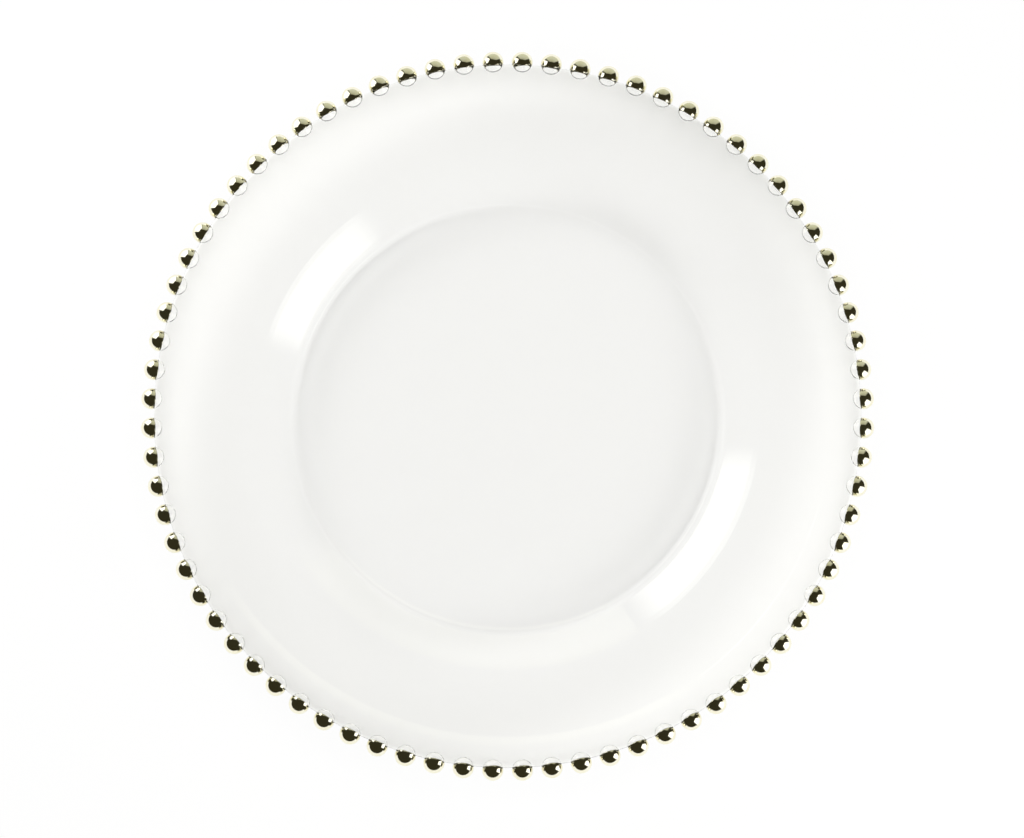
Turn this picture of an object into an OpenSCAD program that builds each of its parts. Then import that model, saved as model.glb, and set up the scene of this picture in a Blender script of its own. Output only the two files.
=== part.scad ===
// Charger plate: a pressed clear glass plate with a string of glass beads set in its edge.
// Each bead carries a coat of gold on its outer and upper side.
// Millimetres, +Z up, origin in the middle of the flat underside.

/* [Bead string] */
// Number of beads round the plate, in whole groups of four
bead_count = 76; // [60:4:88]
// Diameter of the circle through the bead centres
bead_circle_d = 320.4; // [316:0.2:330]
// Diameter of one glass bead
bead_d = 9.4; // [8:0.1:10]
// How far the glass edge between the beads lies inside the bead circle
edge_inset = 1.2; // [0.6:0.1:2.4]

/* [Gilding] */
// Thickness of the gold coat, drawn thicker than the real film
gilding_t = 0.1; // [0.05:0.01:0.2]
// Bare gap between the coat and the glass edge, at the mid height of the bead
gilding_gap = 0.3; // [0.3:0.05:0.8]
// Lean of the coat's edge over the top of the bead towards the well, in degrees
gilding_lean = 15; // [12:1:26]

/* [Border and step] */
// Thickness of the rounded edge
edge_t = 3; // [2.4:0.1:4]
// Width of the narrow border between the edge and the step
border_w = 10; // [7:0.2:14]
// Slope of the border, in degrees
border_slope = 1.5; // [0:0.5:3]
// Width of the step, seen from above
step_w = 4.4; // [3.4:0.1:6]
// Slope of the step, in degrees
step_slope = 26; // [16:1:32]
// Radius at the foot and at the head of the step
step_blend_r = 4; // [2:0.5:5]

/* [Rim] */
// Width of the broad band between the step and the wall
rim_w = 30.3; // [20:0.1:40]
// Slope of the broad band, in degrees
rim_slope = 2; // [0:0.5:4]
// Thickness of the glass in the rim and in the wall
wall_t = 4; // [3:0.1:5]

/* [Wall and well] */
// Width of the wall, seen from above
wall_w = 18.7; // [15:0.1:26]
// Slope of the wall, in degrees
wall_slope = 35; // [20:1:40]
// Radius that blends the rim into the wall
shoulder_blend_r = 12; // [8:1:18]
// Radius that blends the wall into the floor of the well
well_blend_r = 17; // [10:1:24]
// Thickness of the glass under the well
floor_t = 4.5; // [3.5:0.1:6]

/* [Underside] */
// Radius that blends the flat base into the wall
base_blend_r = 6; // [3:0.5:10]
// Radius of the other blends on the underside
under_blend_r = 5; // [3:0.5:6]

/* [Hidden] */
$fn = 96;
beads_in_group = 4;
group_count = bead_count / beads_in_group;
GROUPS = [for (g = [1 : group_count]) str(g < 10 ? "0" : "", g)];

// Steps in each blended corner and in the rounded edge
blend_steps = 8;
edge_steps = 8;

bead_r = bead_d / 2;
bead_circle_r = bead_circle_d / 2;
bead_pitch = 360 / bead_count;
edge_r = edge_t / 2;

// Distance from the axis of each place along the section, from the edge inwards
edge_x = bead_circle_r - edge_inset;
edge_centre_x = edge_x - edge_r;
step_head_x = edge_x - border_w;
step_foot_x = step_head_x - step_w;
shoulder_x = step_foot_x - rim_w;
well_x = shoulder_x - wall_w;

// Height gained over a run at a slope
function climb(run, slope) = run * tan(slope);

// Sharp corners of the upper face, from the well outwards
well_corner = [well_x, floor_t];
shoulder = [shoulder_x, well_corner.y + climb(wall_w, wall_slope)];
step_foot = [step_foot_x, shoulder.y + climb(rim_w, rim_slope)];
step_head = [step_head_x, step_foot.y + climb(step_w, step_slope)];
edge_top = [edge_centre_x, step_head.y + climb(edge_centre_x - step_head_x, border_slope)];

// The rounded edge and the beads share one mid height
bead_z = edge_top.y - edge_r;
edge_bottom = [edge_centre_x, bead_z - edge_r];

// A corner of the underside lies one wall thickness below a corner of the upper face
function below(corner, slope_in, slope_out) =
    let (lean = (slope_in + slope_out) / 2)
    corner + wall_t / cos((slope_out - slope_in) / 2) * [sin(lean), -cos(lean)];

under_shoulder = below(shoulder, wall_slope, rim_slope);
under_step_foot = below(step_foot, rim_slope, step_slope);
under_step_head = below(step_head, step_slope, border_slope);
base_corner = [under_shoulder.x - under_shoulder.y / tan(wall_slope), 0];

function unit(v) = v / norm(v);

// Turn from one direction to another, the short way round
function turn(from, to) = (to - from + 540) % 360 - 180;

// Points of an arc of radius r that rounds the corner between points a and b
function blend(a, corner, b, r) =
    let (
        to_a = unit(a - corner),
        to_b = unit(b - corner),
        half = acos(to_a * to_b) / 2,
        centre = corner + unit(to_a + to_b) * r / sin(half),
        reach = r / tan(half),
        first = corner + to_a * reach - centre,
        last = corner + to_b * reach - centre,
        start = atan2(first.y, first.x),
        sweep = turn(start, atan2(last.y, last.x))
    )
    [for (i = [0 : blend_steps])
        let (angle = start + sweep * i / blend_steps)
        centre + r * [cos(angle), sin(angle)]];

// Half section of the plate, from its axis out along the top and back along the underside
function plate_section() = concat(
    [[0, floor_t]],
    blend([0, floor_t], well_corner, shoulder, well_blend_r),
    blend(well_corner, shoulder, step_foot, shoulder_blend_r),
    blend(shoulder, step_foot, step_head, step_blend_r),
    blend(step_foot, step_head, edge_top, step_blend_r),
    [for (i = [0 : edge_steps])
        let (angle = 90 - 180 * i / edge_steps)
        [edge_centre_x, bead_z] + edge_r * [cos(angle), sin(angle)]],
    blend(edge_bottom, under_step_head, under_step_foot, under_blend_r),
    blend(under_step_head, under_step_foot, under_shoulder, under_blend_r),
    blend(under_step_foot, under_shoulder, base_corner, under_blend_r),
    blend(under_shoulder, base_corner, [0, 0], base_blend_r),
    [[0, 0]]
);

// Puts its children at the centre of bead number i, with +X pointing away from the plate
module at_bead(i) {
    rotate([0, 0, (i + 0.5) * bead_pitch])
        translate([bead_circle_r, 0, bead_z])
            children();
}

// Numbers of the beads in one group
function beads_of(group) = [for (k = [0 : beads_in_group - 1]) (group - 1) * beads_in_group + k];

// The pressed plate, with a round seat in its edge for each bead
module glass_plate() {
    color([0.93, 0.96, 0.95, 0.4])
        difference() {
            rotate_extrude() polygon(plate_section());
            for (i = [0 : bead_count - 1]) {
                at_bead(i) sphere(r = bead_r);
            }
        }
}

// Four neighbouring glass beads
module beads(group) {
    color([0.93, 0.96, 0.95, 0.6])
        for (i = beads_of(group)) {
            at_bead(i) sphere(r = bead_r);
        }
}

// One gold coat: a thin shell over the outer and upper side of a bead
module gold_coat() {
    coat_r = bead_r + gilding_t;
    block = 4 * coat_r;
    intersection() {
        difference() {
            sphere(r = coat_r);
            sphere(r = bead_r);
        }
        translate([gilding_gap - edge_inset, 0, 0])
            rotate([0, -gilding_lean, 0])
                translate([0, -block / 2, -block / 2])
                    cube(block);
    }
}

// The gold coats of four neighbouring beads
module gilding(group) {
    color([0.80, 0.72, 0.40])
        for (i = beads_of(group)) {
            at_bead(i) gold_coat();
        }
}

glass_plate();
for (g = [1 : group_count]) {
    beads(g);
    gilding(g);
}
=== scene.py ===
# %% [markdown]
# # A glass charger plate with a gilded bead string
#
# A charger is the large plate that stays on the table under the dinner plate. This one is a disc
# of clear pressed glass with a flat well, a sloped wall, a broad rim and a small step near its
# edge. Glass beads are fused all round the edge, and each bead is brushed with gold on its outer
# and upper side.
#
# The construction model already fixes where everything is. This script loads that model, makes a
# finely finished piece in the place of each part, lights the result and sets up a camera for it.

# %% Load the construction model
import math

import bmesh
import bpy
from mathutils import Matrix, Vector, noise


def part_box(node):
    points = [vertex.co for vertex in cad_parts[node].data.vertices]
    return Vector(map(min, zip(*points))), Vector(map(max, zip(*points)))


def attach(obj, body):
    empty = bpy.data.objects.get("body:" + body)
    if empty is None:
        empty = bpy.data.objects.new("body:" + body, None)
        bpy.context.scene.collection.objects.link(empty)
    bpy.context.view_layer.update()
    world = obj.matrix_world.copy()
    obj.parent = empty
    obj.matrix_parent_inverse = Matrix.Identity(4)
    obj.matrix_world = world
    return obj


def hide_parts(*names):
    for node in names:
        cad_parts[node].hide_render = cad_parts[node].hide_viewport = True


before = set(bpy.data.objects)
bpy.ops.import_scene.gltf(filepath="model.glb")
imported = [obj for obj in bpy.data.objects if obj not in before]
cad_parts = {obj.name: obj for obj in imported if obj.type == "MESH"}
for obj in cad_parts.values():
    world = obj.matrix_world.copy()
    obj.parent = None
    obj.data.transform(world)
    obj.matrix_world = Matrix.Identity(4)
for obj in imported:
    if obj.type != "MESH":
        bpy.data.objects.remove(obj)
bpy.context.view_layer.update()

print("nodes:", len(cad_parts))

# %% [markdown]
# ## Sizes
#
# Blender works in metres here, so every size is a number of millimetres times MM. The widths are
# measured inwards from the edge of the glass, in the order in which a cut through the plate would
# show them. The height of the beads is read from the construction model.

# %% Sizes
MM = 0.001

bead_count = 76
beads_in_group = 4
bead_circle_r = 160.2 * MM
bead_r = 4.7 * MM
bead_pitch = math.tau / bead_count
edge_inset = 1.2 * MM

edge_t = 3 * MM
border_w = 10 * MM
step_w = 4.4 * MM
step_blend_r = 4 * MM
rim_w = 30.3 * MM
wall_w = 18.7 * MM
wall_t = 4 * MM
floor_t = 4.5 * MM

step_slope = math.radians(26)
border_slope = math.radians(1.5)
rim_slope = math.radians(2)
wall_slope = math.radians(35)

shoulder_blend_r = 12 * MM
well_blend_r = 17 * MM
base_blend_r = 6 * MM
under_blend_r = 5 * MM

bead_low, bead_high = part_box("beads_01")
bead_z = (bead_low.z + bead_high.z) / 2
print("bead centres", round(bead_z / MM, 2), "mm up")
print("one bead every", round(math.degrees(bead_pitch), 2), "degrees")

# %% [markdown]
# ## The outline of the plate
#
# A round plate is one outline turned about an axis, so all the work is in the outline. It could be
# drawn as a long list of points, but a mould maker thinks in corners and radii. So the outline
# here is a handful of sharp corners, each with the radius that rounds it. The top is laid out from
# the well outwards, and each corner is as high as the slope before it makes it.

# %% Corners of the top
edge_x = bead_circle_r - edge_inset
step_head_x = edge_x - border_w
step_foot_x = step_head_x - step_w
shoulder_x = step_foot_x - rim_w
well_x = shoulder_x - wall_w


def next_corner(corner, x, slope):
    """The corner reached from another one by going out to x at a slope."""
    return Vector((x, 0, corner.z + (x - corner.x) * math.tan(slope)))


well_corner = Vector((well_x, 0, floor_t))
shoulder = next_corner(well_corner, shoulder_x, wall_slope)
step_foot = next_corner(shoulder, step_foot_x, rim_slope)
step_head = next_corner(step_foot, step_head_x, step_slope)
edge_top = Vector((edge_x, 0, bead_z + edge_t / 2))
edge_bottom = Vector((edge_x, 0, bead_z - edge_t / 2))
print("plate is", round(edge_top.z / MM, 2), "mm high at its edge")

# %% [markdown]
# The underside runs parallel to the top, one thickness of glass below it. Where two slopes meet,
# the lower corner lies on the line that halves the angle between them, and a little further away
# than the thickness, which is what the cosine does.

# %% Corners of the underside
def below(corner, slope_in, slope_out):
    """The corner that lies one wall thickness below a corner of the top."""
    lean = (slope_in + slope_out) / 2
    reach = wall_t / math.cos((slope_out - slope_in) / 2)
    return corner + reach * Vector((math.sin(lean), 0, -math.cos(lean)))


under_shoulder = below(shoulder, wall_slope, rim_slope)
under_step_foot = below(step_foot, rim_slope, step_slope)
under_step_head = below(step_head, step_slope, border_slope)
base_corner = Vector((under_shoulder.x - under_shoulder.z / math.tan(wall_slope), 0, 0))

outline = [
    (Vector((0, 0, floor_t)), 0),
    (well_corner, well_blend_r),
    (shoulder, shoulder_blend_r),
    (step_foot, step_blend_r),
    (step_head, step_blend_r),
    (edge_top, edge_t / 2),
    (edge_bottom, edge_t / 2),
    (under_step_head, under_blend_r),
    (under_step_foot, under_blend_r),
    (under_shoulder, under_blend_r),
    (base_corner, base_blend_r),
    (Vector((0, 0, 0)), 0),
]
print("outline of", len(outline), "corners")

# %% [markdown]
# ## Helpers
#
# Every finished piece goes through the same steps: its mesh becomes an object, it gets its
# material, it is hung under its body, and the part of the construction model that it replaces is
# hidden.
# Materials are made of many small sums, so one helper adds a Math node and returns its output.
# Another one mixes two shaders on the way to the surface.

# %% Helpers
def finished(name, bm, material, node):
    """Turns a bmesh into a smooth object that stands in for a node."""
    mesh = bpy.data.meshes.new(name)
    bm.to_mesh(mesh)
    bm.free()
    mesh.shade_smooth()
    mesh.materials.append(material)
    piece = bpy.data.objects.new(name, mesh)
    bpy.context.collection.objects.link(piece)
    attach(piece, "root")
    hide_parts(node)
    return piece


def maths(tree, operation, *values):
    """Adds a Math node whose inputs are numbers or outputs of other nodes."""
    node = tree.nodes.new("ShaderNodeMath")
    node.operation = operation
    for socket, value in zip(node.inputs, values):
        if isinstance(value, (int, float)):
            socket.default_value = value
        else:
            tree.links.new(value, socket)
    return node.outputs[0]


def fade(tree, value, start, end):
    """Goes smoothly from 0 to 1 while a value goes from start to end."""
    node = tree.nodes.new("ShaderNodeMapRange")
    node.interpolation_type = "SMOOTHSTEP"
    node.inputs["From Min"].default_value = start
    node.inputs["From Max"].default_value = end
    tree.links.new(value, node.inputs["Value"])
    return node.outputs["Result"]


def show_mix(tree, share, first, second):
    """Shows a mix of two shaders, with the given share of the second one."""
    mix = tree.nodes.new("ShaderNodeMixShader")
    tree.links.new(share, mix.inputs["Fac"])
    tree.links.new(first, mix.inputs[1])
    tree.links.new(second, mix.inputs[2])
    tree.links.new(mix.outputs["Shader"], tree.nodes["Material Output"].inputs["Surface"])


print("helpers: finished, maths, fade, show_mix")

# %% [markdown]
# ## Glass
#
# Clear glass hardly has a colour of its own. What shows it is how it bends what is behind it and
# mirrors what is around it. Pressed glass is never quite flat, because the mould leaves slow waves
# in it, so a wide and very shallow noise tilts the surface through a Bump node.
#
# Light has to get through the glass to the table as well. Following every bent ray from a lamp is
# slow and grainy, so for the rays that carry light to and from the table the glass acts as a clear
# film. Glass mirrors more the flatter light meets it, and the fifth power of Facing follows that
# well, so the film lets less through there. A level sheet lets the rest go straight on, but a
# slope bends it away. The Z of the normal in the object's own coordinates tells how level the
# glass is, and where a lamp grazes a slope the film is darker still. That draws the soft shade at
# the foot of the wall.

# %% Glass material
mirror_power = 5
graze_power = 11


def glass_material(name, wave_size, wave_depth, bending):
    mat = bpy.data.materials.new(name)
    mat.use_nodes = True
    tree = mat.node_tree
    glass = tree.nodes["Principled BSDF"]
    glass.inputs["Base Color"].default_value = (0.996, 0.998, 0.992, 1)
    glass.inputs["Roughness"].default_value = 0.0
    glass.inputs["IOR"].default_value = 1.5
    glass.inputs["Transmission Weight"].default_value = 1.0

    place = tree.nodes.new("ShaderNodeTexCoord")
    waves = tree.nodes.new("ShaderNodeTexNoise")
    waves.inputs["Scale"].default_value = 1 / wave_size
    waves.inputs["Detail"].default_value = 1.5
    bump = tree.nodes.new("ShaderNodeBump")
    bump.inputs["Strength"].default_value = 1.0
    bump.inputs["Distance"].default_value = wave_depth
    tree.links.new(place.outputs["Object"], waves.inputs["Vector"])
    tree.links.new(waves.outputs["Fac"], bump.inputs["Height"])
    tree.links.new(bump.outputs["Normal"], glass.inputs["Normal"])

    path = tree.nodes.new("ShaderNodeLightPath")
    shadow, diffuse = path.outputs["Is Shadow Ray"], path.outputs["Is Diffuse Ray"]
    to_table = maths(tree, "MAXIMUM", shadow, diffuse)
    slant = tree.nodes.new("ShaderNodeLayerWeight")
    slant.inputs["Blend"].default_value = 0.5
    mirrored = maths(tree, "POWER", slant.outputs["Facing"], mirror_power)
    axes = tree.nodes.new("ShaderNodeSeparateXYZ")
    tree.links.new(place.outputs["Normal"], axes.inputs["Vector"])
    level = maths(tree, "MULTIPLY", axes.outputs["Z"], axes.outputs["Z"])
    steep = maths(tree, "MULTIPLY", maths(tree, "SUBTRACT", 1, level), bending)
    slope = maths(tree, "MINIMUM", steep, 1)
    grazed = maths(tree, "POWER", slant.outputs["Facing"], graze_power)
    bent = maths(tree, "MULTIPLY", maths(tree, "MULTIPLY", slope, grazed), shadow)
    passed = maths(tree, "SUBTRACT", 1, mirrored)
    kept = maths(tree, "MULTIPLY", passed, maths(tree, "SUBTRACT", 1, bent))
    film = tree.nodes.new("ShaderNodeBsdfTransparent")
    tree.links.new(kept, film.inputs["Color"])
    show_mix(tree, to_table, glass.outputs["BSDF"], film.outputs["BSDF"])
    return mat


plate_glass = glass_material("plate_glass", 45 * MM, 0.03 * MM, 6)
bead_glass = glass_material("bead_glass", 4 * MM, 0.01 * MM, 0)
print("glass materials:", plate_glass.name, bead_glass.name)

# %% [markdown]
# ## Places of the beads
#
# The first bead sits half a pitch away from the X axis. Every bead is made round the origin, with
# +X pointing away from the plate, and a matrix takes it to its place. Beads pressed and fused in a
# mould are not perfect balls, so a seeded noise pushes the surface in and out by a few hundredths
# of a millimetre. Glass and gold use the same noise, so the gold follows its bead.

# %% Places and swelling of the beads
def bead_place(i):
    """Takes a shape made round the origin to the place of bead i."""
    turn = Matrix.Rotation((i + 0.5) * bead_pitch, 4, "Z")
    return turn @ Matrix.Translation((bead_circle_r, 0, bead_z))


swell_depth = 0.03 * MM
swell_detail = 0.9


def swell(verts, i):
    """Gives bead i its own slight unevenness."""
    for v in verts:
        way = v.co.normalized()
        bump = noise.noise(way * swell_detail + Vector((7 * i, 3, 5)))
        v.co += way * swell_depth * (bump - 0.5)


def ball(radius):
    """A round ball about the origin, fine enough for a bead."""
    bm = bmesh.new()
    bmesh.ops.create_uvsphere(bm, u_segments=48, v_segments=24, radius=radius)
    return bm


def join(bm, part, i):
    """Adds a finished shape to a group, at the place of bead i."""
    bmesh.ops.transform(part, matrix=bead_place(i), verts=part.verts[:])
    mesh = bpy.data.meshes.new("part")
    part.to_mesh(mesh)
    part.free()
    bm.from_mesh(mesh)
    bpy.data.meshes.remove(mesh)


groups = range(bead_count // beads_in_group)


def beads_of(group):
    return range(group * beads_in_group, (group + 1) * beads_in_group)


print("groups of beads:", len(groups))

# %% [markdown]
# ## The pressed plate
#
# The outline is laid down as a line of edges. A bevel of one vertex at a time rounds its corner:
# the offset is the distance from the corner at which an arc of the wanted radius touches both
# edges. Spin then turns the line once about the axis, and the doubles at the axis are merged.

# %% Spin the plate
corner_steps = 12
spin_steps = bead_count * 4


def round_corner(bm, corner, radius):
    """Rounds one corner of a line of edges with an arc of the given radius."""
    ways = [(e.other_vert(corner).co - corner.co).normalized() for e in corner.link_edges]
    half = ways[0].angle(ways[1]) / 2
    bmesh.ops.bevel(
        bm, geom=[corner], offset=radius / math.tan(half), offset_type="OFFSET",
        segments=corner_steps, profile=0.5, affect="VERTICES", material=-1,
    )


def spin_plate():
    bm = bmesh.new()
    corners = [bm.verts.new(place) for place, radius in outline]
    for a, b in zip(corners, corners[1:]):
        bm.edges.new((a, b))
    for corner, (place, radius) in zip(corners, outline):
        if radius:
            round_corner(bm, corner, radius)
    bmesh.ops.spin(
        bm, geom=bm.verts[:] + bm.edges[:], cent=(0, 0, 0), axis=(0, 0, 1), dvec=(0, 0, 0),
        angle=math.tau, steps=spin_steps, use_merge=True, use_normal_flip=False,
        use_duplicate=False,
    )
    bmesh.ops.remove_doubles(bm, verts=bm.verts[:], dist=0.001 * MM)
    bmesh.ops.recalc_face_normals(bm, faces=bm.faces[:])
    return bm


plate = finished("pressed_plate", spin_plate(), plate_glass, "glass_plate")
print("plate:", len(plate.data.polygons), "faces")

# %% [markdown]
# ## Seats for the beads
#
# On the real plate the beads melt into the edge. Two pieces of glass that simply overlap would
# show the edge of the plate inside each bead, because a ray takes every surface that it meets for
# a border between air and glass. So the plate gets a round seat for each bead, cut with a Boolean
# modifier, and the bead reaches a few hundredths of a millimetre into it. The seat's rim is marked
# sharp, so that the smooth shading stops there.

# %% Cut the seats
sharp_from = math.radians(35)


def cut_seats(piece):
    bm = bmesh.new()
    for i in range(bead_count):
        join(bm, ball(bead_r), i)
    mesh = bpy.data.meshes.new("seats")
    bm.to_mesh(mesh)
    bm.free()
    seats = bpy.data.objects.new("seats", mesh)
    bpy.context.collection.objects.link(seats)
    cut = piece.modifiers.new("seats", "BOOLEAN")
    cut.operation = "DIFFERENCE"
    cut.solver = "MANIFOLD"
    cut.object = seats
    seated = piece.evaluated_get(bpy.context.evaluated_depsgraph_get())
    cut_mesh = bpy.data.meshes.new_from_object(seated)
    piece.modifiers.clear()
    piece.data = cut_mesh
    cut_mesh.shade_smooth()
    cut_mesh.set_sharp_from_angle(angle=sharp_from)
    bpy.data.objects.remove(seats)


cut_seats(plate)
print("plate with seats:", len(plate.data.polygons), "faces")

# %% [markdown]
# ## Glass beads
#
# Each bead is a ball of clear glass that stands out above, below and outside the edge.

# %% Beads
glass_reach = 0.05 * MM


def bead_group(group):
    bm = bmesh.new()
    for i in beads_of(group):
        bead = ball(bead_r + glass_reach)
        swell(bead.verts, i)
        join(bm, bead, i)
    return bm


for g in groups:
    number, group = f"{g + 1:02d}", bead_group(g)
    beads = finished("glass_beads_" + number, group, bead_glass, "beads_" + number)
print("beads in a group:", len(beads.data.polygons), "faces")

# %% [markdown]
# ## Gold
#
# Liquid gold is brushed on and fired, and comes out as a thin bright film. It is a pale gold, a
# metal with a smooth surface, on which the brush leaves faint streaks and thin spots. A noise
# drives the roughness and another one the colour between a paler and a deeper gold.
#
# Gold beads throw the light of a lamp on to the table beside them, and so their own shadows are
# pale. Following that light is slow and grainy, so the gold lets part of the light through on its
# way to the table instead. The camera sees solid gold.

# %% Gold material
thin_spots = 2.5 * MM
brush_streaks = 0.8 * MM
streak_depth = 0.004 * MM
light_let_through = 0.75


def gold_material():
    mat = bpy.data.materials.new("gilding")
    mat.use_nodes = True
    tree = mat.node_tree
    gold = tree.nodes["Principled BSDF"]
    gold.inputs["Metallic"].default_value = 1.0

    place = tree.nodes.new("ShaderNodeTexCoord")
    thin = tree.nodes.new("ShaderNodeTexNoise")
    thin.inputs["Scale"].default_value = 1 / thin_spots
    thin.inputs["Detail"].default_value = 3.0
    tone = tree.nodes.new("ShaderNodeValToRGB")
    tone.color_ramp.elements[0].position = 0.35
    tone.color_ramp.elements[0].color = (0.93, 0.89, 0.69, 1)
    tone.color_ramp.elements[1].position = 0.70
    tone.color_ramp.elements[1].color = (0.96, 0.94, 0.81, 1)
    tree.links.new(place.outputs["Object"], thin.inputs["Vector"])
    tree.links.new(thin.outputs["Fac"], tone.inputs["Fac"])
    tree.links.new(tone.outputs["Color"], gold.inputs["Base Color"])

    brush = tree.nodes.new("ShaderNodeTexNoise")
    brush.inputs["Scale"].default_value = 1 / brush_streaks
    brush.inputs["Detail"].default_value = 2.0
    tree.links.new(place.outputs["Object"], brush.inputs["Vector"])
    rough = tree.nodes.new("ShaderNodeMapRange")
    rough.inputs["To Min"].default_value = 0.05
    rough.inputs["To Max"].default_value = 0.14
    tree.links.new(brush.outputs["Fac"], rough.inputs["Value"])
    tree.links.new(rough.outputs["Result"], gold.inputs["Roughness"])
    bump = tree.nodes.new("ShaderNodeBump")
    bump.inputs["Distance"].default_value = streak_depth
    tree.links.new(brush.outputs["Fac"], bump.inputs["Height"])
    tree.links.new(bump.outputs["Normal"], gold.inputs["Normal"])

    path = tree.nodes.new("ShaderNodeLightPath")
    film = tree.nodes.new("ShaderNodeBsdfTransparent")
    film.inputs["Color"].default_value = (light_let_through,) * 3 + (1,)
    show_mix(tree, path.outputs["Is Shadow Ray"], gold.outputs["BSDF"], film.outputs["BSDF"])
    return mat


gilding = gold_material()
print("gold material:", gilding.name)

# %% [markdown]
# ## Gold coats
#
# A coat is a thin shell over the outer and upper side of a bead. It starts as a ball, which one
# plane cuts. The plane leans, so that the gold reaches further over the top of the bead than down
# its sides. A brushed edge is never straight: the ball is warped a little before the cut and set
# back after it, and that leaves a wavy edge on a round ball.

# %% Gold coats
gold_reach = 0.1 * MM
gold_t = 0.08 * MM
gold_edge_x = -0.9 * MM
gold_lean = math.radians(15)
brush_wander = 0.15 * MM
brush_width = 2.4 * MM


def wander(v, i):
    """How far the brushed edge strays at a point of bead i."""
    return brush_wander * noise.noise(v.co / brush_width + Vector((11 * i, 2, 9)))


def gold_coat(i):
    radius = bead_r + gold_reach
    coat = ball(radius)
    strays = {v: wander(v, i) for v in coat.verts}
    for v, stray in strays.items():
        v.co.x += stray
    bmesh.ops.bisect_plane(
        coat, geom=coat.verts[:] + coat.edges[:] + coat.faces[:], dist=0.0001 * MM,
        plane_co=(gold_edge_x, 0, 0), plane_no=(math.cos(gold_lean), 0, math.sin(gold_lean)),
        clear_inner=True,
    )
    for v in coat.verts:
        v.co.x -= wander(v, i)
        v.co = v.co.normalized() * radius
    bmesh.ops.solidify(coat, geom=coat.faces[:], thickness=gold_t)
    swell(coat.verts, i)
    return coat


def coat_group(group):
    bm = bmesh.new()
    for i in beads_of(group):
        join(bm, gold_coat(i), i)
    return bm


for g in groups:
    number, group = f"{g + 1:02d}", coat_group(g)
    coats = finished("gold_coats_" + number, group, gilding, "gilding_" + number)
print("coats in a group:", len(coats.data.polygons), "faces")

# %% [markdown]
# ## The table
#
# The photograph shows pure white round the plate, with the shading only inside it. So the table is
# white paper, and for the camera most of it is replaced by plain white of strength 1. What is seen
# in the gold and through the glass keeps more of the paper, because the shadow of the plate lies
# there.

# %% Table
plain_white_seen = 0.9
plain_white_in_gold = 0.6
table_half = 8.0
table_z = -0.05 * MM


def table_material():
    mat = bpy.data.materials.new("white_table")
    mat.use_nodes = True
    tree = mat.node_tree
    paper = tree.nodes["Principled BSDF"]
    paper.inputs["Base Color"].default_value = (0.98, 0.98, 0.975, 1)
    paper.inputs["Roughness"].default_value = 1.0
    paper.inputs["Specular IOR Level"].default_value = 0.0
    white = tree.nodes.new("ShaderNodeEmission")
    path = tree.nodes.new("ShaderNodeLightPath")
    seen = maths(tree, "MULTIPLY", path.outputs["Is Camera Ray"], plain_white_seen)
    glossy, through = path.outputs["Is Glossy Ray"], path.outputs["Is Transmission Ray"]
    bounced = maths(tree, "MAXIMUM", maths(tree, "SUBTRACT", glossy, through), 0)
    in_gold = maths(tree, "MULTIPLY", bounced, plain_white_in_gold)
    share = maths(tree, "ADD", seen, in_gold)
    show_mix(tree, share, paper.outputs["BSDF"], white.outputs["Emission"])
    return mat


bm = bmesh.new()
bmesh.ops.create_grid(bm, x_segments=1, y_segments=1, size=table_half)
bmesh.ops.translate(bm, verts=bm.verts[:], vec=(0, 0, table_z))
mesh = bpy.data.meshes.new("table")
bm.to_mesh(mesh)
bm.free()
mesh.materials.append(table_material())
table = bpy.data.objects.new("table", mesh)
bpy.context.collection.objects.link(table)
print("table", 2 * table_half, "m wide, with its top at", round(table_z / MM, 2), "mm")

# %% [markdown]
# ## The room
#
# Polished gold and glass look like what they mirror. In the photograph the beads mirror a dark
# room above a white table. So the world is dark, but white for the camera itself. Light that is
# bent nearly level on its way through the glass ends on the white edge of the table, and a haze
# that reaches a little way up from the horizon takes care of that.

# %% World
haze_top = 0.12

world = bpy.data.worlds.new("studio")
bpy.context.scene.world = world
world.use_nodes = True
tree = world.node_tree
way = tree.nodes.new("ShaderNodeTexCoord")
axes = tree.nodes.new("ShaderNodeSeparateXYZ")
tree.links.new(way.outputs["Generated"], axes.inputs["Vector"])
path = tree.nodes.new("ShaderNodeLightPath")
low_down = fade(tree, axes.outputs["Z"], haze_top, 0)
haze = maths(tree, "MULTIPLY", low_down, path.outputs["Is Transmission Ray"])
white = maths(tree, "MAXIMUM", haze, path.outputs["Is Camera Ray"])
light = tree.nodes.new("ShaderNodeMix")
light.data_type = "RGBA"
light.inputs["A"].default_value = (0.030, 0.027, 0.014, 1)
light.inputs["B"].default_value = (1, 1, 1, 1)
tree.links.new(white, light.inputs["Factor"])
tree.links.new(light.outputs["Result"], tree.nodes["Background"].inputs["Color"])
print("world nodes:", len(tree.nodes))

# %% [markdown]
# ## Cards
#
# Gold and glass show what stands round the plate. Two softboxes stand on opposite sides of it, and
# each shows as a bright patch on the far wall of the well, as a thin line on the step and as a
# white notch in every bead. The gold at the top of the beads isn't black but khaki, because
# something grey stood behind the plate. All three are cards here, which glow and fade out towards
# their sides and their top. Only mirrored and bent rays see them.

# %% Cards
side_fade = 0.2
top_fade = 0.25


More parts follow.
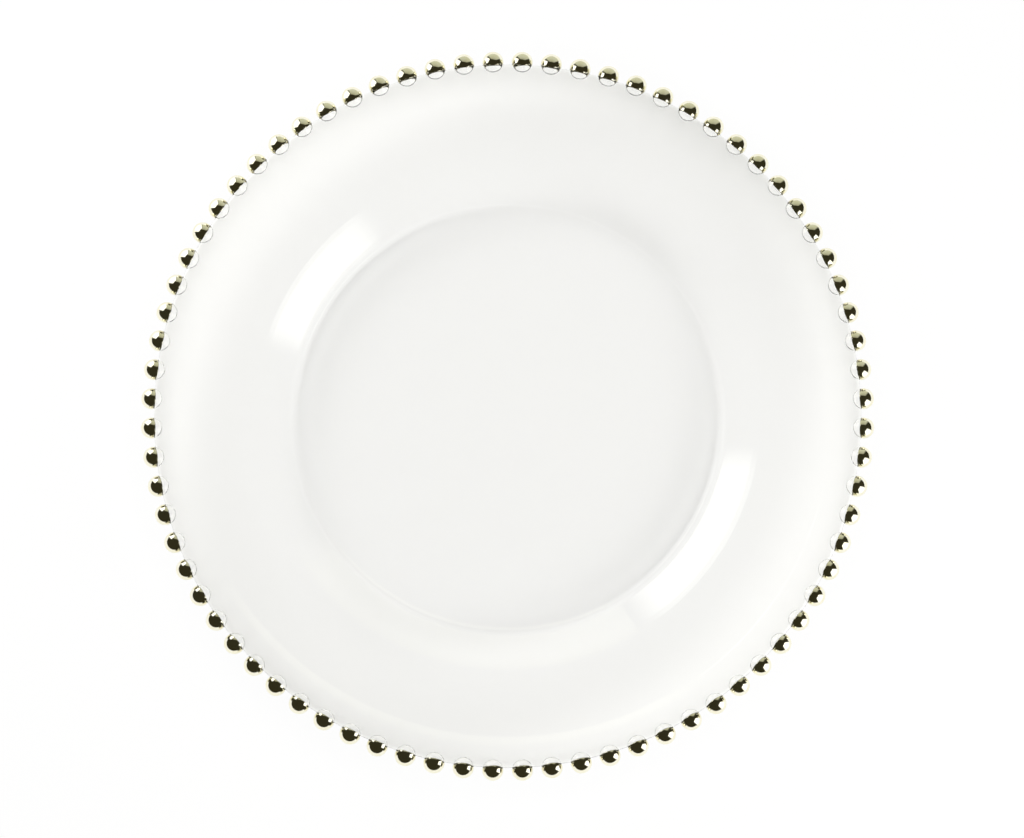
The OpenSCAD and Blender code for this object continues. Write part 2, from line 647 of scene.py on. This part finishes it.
def card_material(name, foot, head, strength):
    mat = bpy.data.materials.new(name)
    mat.use_nodes = True
    tree = mat.node_tree
    place = tree.nodes.new("ShaderNodeTexCoord")
    axes = tree.nodes.new("ShaderNodeSeparateXYZ")
    tree.links.new(place.outputs["UV"], axes.inputs["Vector"])
    tone = tree.nodes.new("ShaderNodeValToRGB")
    tone.color_ramp.elements[0].color = foot
    tone.color_ramp.elements[1].color = head
    tree.links.new(axes.outputs["Y"], tone.inputs["Fac"])
    across = maths(tree, "PINGPONG", axes.outputs["X"], 0.5)
    down = maths(tree, "SUBTRACT", 1, axes.outputs["Y"])
    sides = fade(tree, across, 0, side_fade)
    shine = maths(tree, "MULTIPLY", sides, fade(tree, down, 0, top_fade))
    glow = tree.nodes.new("ShaderNodeEmission")
    tree.links.new(tone.outputs["Color"], glow.inputs["Color"])
    tree.links.new(maths(tree, "MULTIPLY", shine, strength), glow.inputs["Strength"])
    tree.links.new(glow.outputs["Emission"], tree.nodes["Material Output"].inputs["Surface"])
    return mat


def card(name, azimuth, distance, width, height, material):
    """Stands an upright card on the table, facing the plate."""
    bm = bmesh.new()
    bm.loops.layers.uv.new("UVMap")
    bmesh.ops.create_grid(bm, x_segments=1, y_segments=1, size=0.5, calc_uvs=True)
    bmesh.ops.scale(bm, verts=bm.verts[:], vec=(width, height, 1))
    upright = Matrix.Rotation(math.radians(90), 3, "X")
    turned = Matrix.Rotation(math.radians(azimuth - 90), 3, "Z")
    bmesh.ops.rotate(bm, verts=bm.verts[:], matrix=upright)
    bmesh.ops.translate(bm, verts=bm.verts[:], vec=(0, distance, height / 2))
    bmesh.ops.rotate(bm, verts=bm.verts[:], matrix=turned)
    mesh = bpy.data.meshes.new(name)
    bm.to_mesh(mesh)
    bm.free()
    mesh.materials.append(material)
    piece = bpy.data.objects.new(name, mesh)
    bpy.context.collection.objects.link(piece)
    piece.visible_camera = False
    piece.visible_diffuse = False
    piece.visible_shadow = False
    print(name, round(width / MM), "mm wide and", round(height / MM), "mm high")


right_azimuth = 330.7
left_azimuth = 141.0
grey = card_material("grey_card", (0.66, 0.67, 0.53, 1), (0.26, 0.25, 0.17, 1), 1)
glowing = card_material("softbox_face", (1, 1, 0.97, 1), (1, 1, 0.97, 1), 1.8)
card("card_behind", 80, 0.42, 0.85, 0.80, grey)
card("softbox_face_right", right_azimuth, 0.33, 0.28, 0.32, glowing)
card("softbox_face_left", left_azimuth, 0.31, 0.28, 0.26, glowing)

# %% [markdown]
# ## Lamps
#
# The light on the table comes from three area lamps: a large one above the plate, and two that
# stand far behind the softboxes. Light from far off falls evenly on the whole plate, and because
# these two stand low, the wall of the well throws its shade inwards. The radiance of an area lamp
# is its power divided by its area and by pi, so the power is worked out from the brightness that
# is wanted. Gold and glass mirror only the cards and not the lamps.

# %% Lamps
def lamp(name, azimuth, elevation, distance, width, height, brightness):
    light = bpy.data.lights.new(name, "AREA")
    light.shape = "RECTANGLE"
    light.size, light.size_y = width, height
    light.energy = brightness * math.pi * width * height
    piece = bpy.data.objects.new(name, light)
    bpy.context.collection.objects.link(piece)
    turn, rise = math.radians(azimuth), math.radians(elevation)
    flat = math.cos(rise)
    way = Vector((math.cos(turn) * flat, math.sin(turn) * flat, math.sin(rise)))
    piece.location = way * distance
    piece.rotation_mode = "QUATERNION"
    piece.rotation_quaternion = way.to_track_quat("Z", "Y")
    piece.visible_camera = False
    piece.visible_glossy = False
    piece.visible_transmission = False
    print(name, "lights with", round(light.energy, 1), "W")


lamp("lamp_right", right_azimuth, 23, 1.1, 0.60, 0.32, 9.4)
lamp("lamp_left", left_azimuth, 23, 1.1, 0.60, 0.32, 9.4)
lamp("lamp_above", 0, 90, 1.3, 1.3, 1.3, 2.85)

# %% [markdown]
# ## Camera
#
# The plate was photographed almost straight down, from a little towards the bottom of the picture.
# The shift of the lens puts the plate a few pixels off the middle, where the photograph has it.

# %% Camera
photo_width = 1024
off_middle_x = 4.4
off_middle_y = -5.6
pixel = 0.4498 * MM
distance = 2.1
tilt = math.radians(6)

lens = bpy.data.cameras.new("camera")
camera = bpy.data.objects.new("camera", lens)
bpy.context.collection.objects.link(camera)
bpy.context.scene.camera = camera
target = Vector((0, 0, bead_z))
back = Vector((0, -math.sin(tilt), math.cos(tilt)))
camera.location = target + distance * back
camera.rotation_mode = "QUATERNION"
camera.rotation_quaternion = back.to_track_quat("Z", "Y")
lens.sensor_width = 36
lens.lens = distance / pixel / photo_width * lens.sensor_width
lens.shift_x = off_middle_x / photo_width
lens.shift_y = off_middle_y / photo_width
lens.clip_end = 30
bpy.context.scene.view_settings.view_transform = "Standard"
print("lens of", round(lens.lens, 1), "mm")
